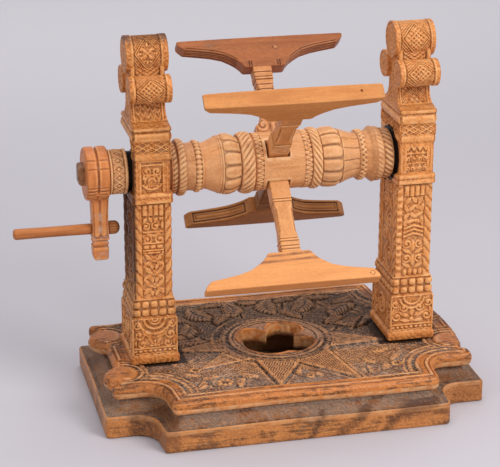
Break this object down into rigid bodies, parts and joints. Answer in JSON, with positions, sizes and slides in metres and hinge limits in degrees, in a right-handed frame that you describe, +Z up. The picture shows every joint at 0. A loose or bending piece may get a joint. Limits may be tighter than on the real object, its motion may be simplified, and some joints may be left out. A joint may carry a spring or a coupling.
{
  "type": "tabletop yarn winder",
  "caption": "Carved wooden tabletop yarn winder: a crank-turned reel of arms and crossbars on a drum between two posts, on a stepped base with a well.",
  "frame": {"origin": "middle of the base's underside, halfway between the two posts' centre lines", "axes": "+X along the reel's axle from the crank end to the plain end, -Y towards the front, +Z up"},
  "size_m": [0.4305, 0.25, 0.354],
  "materials": {
    "base_wood": "old carved hardwood, dark brown with worn orange edges, dusty recesses, satin",
    "board_wood": "plain sawn board, aged brown, dull",
    "post_wood": "old carved hardwood, warm orange-brown, polished by handling, satin",
    "drum_wood": "turned and carved hardwood, lighter tan brown, satin",
    "crank_wood": "orange-red brown hardwood, smooth from handling, satin",
    "honey_wood": "honey-coloured hardwood, waxed, satin",
    "red_wood": "reddish brown hardwood, waxed, satin",
    "dark_wood": "dark brown hardwood, dull",
    "nail_iron": "blackened wrought iron, dull"
  },
  "bodies": {
    "stand": {"base_block": "base_wood", "bottom_board": "board_wood", "board_nails": "nail_iron", "post_left": "post_wood", "post_right": "post_wood", "tenon_wedges": "board_wood"},
    "reel": {"reel_drum": "drum_wood", "crank_arm": "crank_wood", "arm_top_front": "honey_wood", "arm_top_back": "red_wood", "arm_bottom_back": "dark_wood", "arm_bottom_front": "honey_wood", "bar_top_front": "honey_wood", "bar_top_back": "red_wood", "bar_bottom_back": "dark_wood", "bar_bottom_front": "honey_wood"},
    "handle": {"handle_rod": "crank_wood", "handle_knob": "crank_wood"}
  },
  "joints": [
    {"name": "reel_spin", "type": "hinge", "parent": "stand", "child": "reel", "pos_m": [0, 0, 0.2275], "axis": [1, 0, 0], "continuous": true},
    {"name": "handle_spin", "type": "hinge", "parent": "reel", "child": "handle", "pos_m": [-0.16975, 0, 0.174], "axis": [1, 0, 0], "continuous": true}
  ]
}
